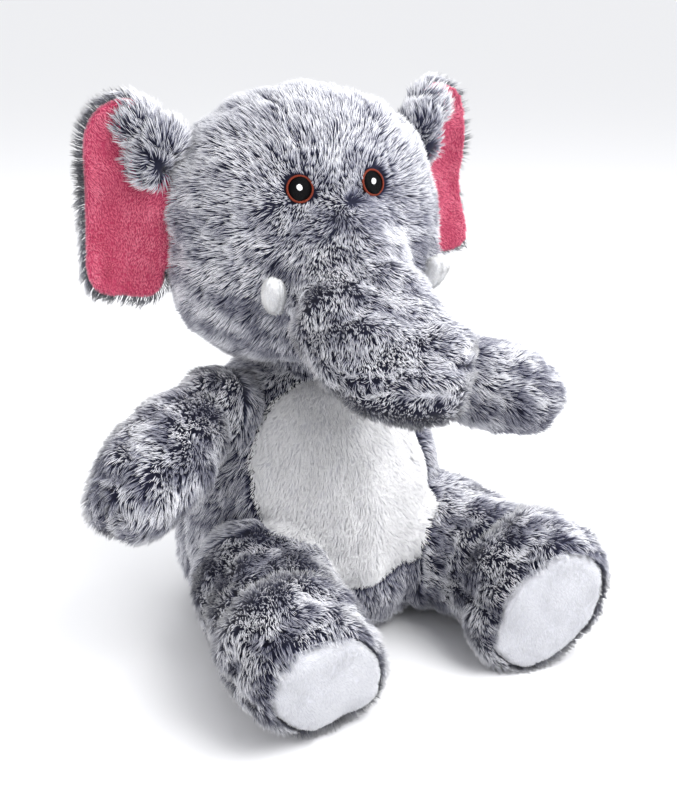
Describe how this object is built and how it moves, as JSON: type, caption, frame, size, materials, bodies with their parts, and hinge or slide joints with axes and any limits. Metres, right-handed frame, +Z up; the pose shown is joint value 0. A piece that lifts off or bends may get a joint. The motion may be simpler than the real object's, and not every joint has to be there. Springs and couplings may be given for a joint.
{
  "type": "plush elephant",
  "caption": "Seated plush elephant: tipped grey fur, white belly and soles, pink-lined ears, stub tusks, a thick forward trunk, and a head, trunk, ears, limbs and tail that turn at their seams.",
  "frame": {"origin": "on the ground under the middle of the seated toy", "axes": "+Z up, -Y the way the toy faces, -X its own right side"},
  "size_m": [0.2784, 0.2548, 0.279],
  "materials": {
    "grey_fur": "long tipped plush pile, matt, navy-grey roots and pale tips",
    "white_fur": "long white plush pile, matt",
    "white_cloth": "short-pile velboa, matt",
    "pink_cloth": "short-pile minky plush, soft sheen",
    "fibre_filling": "white polyester fibre filling",
    "pouch_cloth": "plain woven cotton pouch of plastic pellets",
    "black_thread": "satin-stitched black embroidery thread",
    "rust_thread": "rust-brown embroidery thread",
    "white_thread": "white embroidery thread",
    "grey_thread": "grey polyester sewing thread",
    "satin_tape": "blank white satin tape"
  },
  "bodies": {
    "torso": {"torso_back_panel": "grey_fur", "torso_front_right": "grey_fur", "torso_front_left": "grey_fur", "belly_panel": "white_fur", "torso_stuffing": "fibre_filling", "pellet_pouch": "pouch_cloth", "closing_seam_thread": "grey_thread", "side_seam_label": "satin_tape"},
    "neck": {"neck_stuffing": "fibre_filling", "neck_seam_thread": "grey_thread"},
    "head": {"head_gusset": "grey_fur", "head_side_right": "grey_fur", "head_side_left": "grey_fur", "head_stuffing": "fibre_filling", "eye_patch_right": "black_thread", "eye_outline_right": "rust_thread", "eye_highlight_right": "white_thread", "tusk_skin_right": "white_cloth", "tusk_stuffing_right": "fibre_filling", "eye_patch_left": "black_thread", "eye_outline_left": "rust_thread", "eye_highlight_left": "white_thread", "tusk_skin_left": "white_cloth", "tusk_stuffing_left": "fibre_filling"},
    "trunk": {"trunk_top_panel": "grey_fur", "trunk_underside_panel": "grey_fur", "trunk_stuffing": "fibre_filling"},
    "tail": {"tail_fur": "grey_fur", "tail_root_stuffing": "fibre_filling", "tail_tuft": "grey_fur"},
    "ear_right": {"ear_back_right": "grey_fur", "ear_lining_right": "pink_cloth", "ear_batting_right": "fibre_filling"},
    "arm_right": {"arm_front_panel_right": "grey_fur", "arm_back_panel_right": "grey_fur", "arm_stuffing_right": "fibre_filling", "toe_stitch_right_1": "grey_thread", "toe_stitch_right_2": "grey_thread"},
    "leg_right": {"leg_upper_panel_right": "grey_fur", "leg_lower_panel_right": "grey_fur", "leg_stuffing_right": "fibre_filling", "sole_right": "white_cloth"},
    "ear_left": {"ear_back_left": "grey_fur", "ear_lining_left": "pink_cloth", "ear_batting_left": "fibre_filling"},
    "arm_left": {"arm_front_panel_left": "grey_fur", "arm_back_panel_left": "grey_fur", "arm_stuffing_left": "fibre_filling", "toe_stitch_left_1": "grey_thread", "toe_stitch_left_2": "grey_thread"},
    "leg_left": {"leg_upper_panel_left": "grey_fur", "leg_lower_panel_left": "grey_fur", "leg_stuffing_left": "fibre_filling", "sole_left": "white_cloth"}
  },
  "joints": [
    {"name": "head_turn", "type": "hinge", "parent": "torso", "child": "neck", "pos_m": [0.0009, 0.01874, 0.148], "axis": [0, 0, 1], "range_deg": [-30, 30], "stiffness_Nm_per_rad": 1},
    {"name": "head_nod", "type": "hinge", "parent": "neck", "child": "head", "pos_m": [0.0009, 0.01874, 0.148], "axis": [1, 0, 0], "range_deg": [-9, 9], "stiffness_Nm_per_rad": 2},
    {"name": "trunk_lift", "type": "hinge", "parent": "head", "child": "trunk", "pos_m": [-0.0011, -0.01626, 0.198], "axis": [-1, 0, 0], "range_deg": [-3, 35], "stiffness_Nm_per_rad": 0.8},
    {"name": "ear_fold_right", "type": "hinge", "parent": "head", "child": "ear_right", "pos_m": [-0.0716, 0.02674, 0.22], "axis": [0, 0, 1], "range_deg": [-35, 35], "stiffness_Nm_per_rad": 0.08},
    {"name": "ear_fold_left", "type": "hinge", "parent": "head", "child": "ear_left", "pos_m": [0.0734, 0.02674, 0.22], "axis": [0, 0, -1], "range_deg": [-35, 35], "stiffness_Nm_per_rad": 0.08},
    {"name": "arm_raise_right", "type": "hinge", "parent": "torso", "child": "arm_right", "pos_m": [-0.0551, 0.01174, 0.126], "axis": [-0.5, 0.866, 0], "range_deg": [-20, 50], "stiffness_Nm_per_rad": 0.4},
    {"name": "arm_raise_left", "type": "hinge", "parent": "torso", "child": "arm_left", "pos_m": [0.0569, 0.01174, 0.126], "axis": [-0.5, -0.866, 0], "range_deg": [-20, 50], "stiffness_Nm_per_rad": 0.4},
    {"name": "leg_raise_right", "type": "hinge", "parent": "torso", "child": "leg_right", "pos_m": [-0.0521, -0.03026, 0.04], "axis": [-1, 0, 0], "range_deg": [-30, 35], "stiffness_Nm_per_rad": 1},
    {"name": "leg_raise_left", "type": "hinge", "parent": "torso", "child": "leg_left", "pos_m": [0.0539, -0.03026, 0.04], "axis": [-1, 0, 0], "range_deg": [-30, 35], "stiffness_Nm_per_rad": 1},
    {"name": "tail_swing", "type": "hinge", "parent": "torso", "child": "tail", "pos_m": [0.0009, 0.08074, 0.026], "axis": [0, 0, 1], "range_deg": [-25, 25], "stiffness_Nm_per_rad": 0.03}
  ]
}
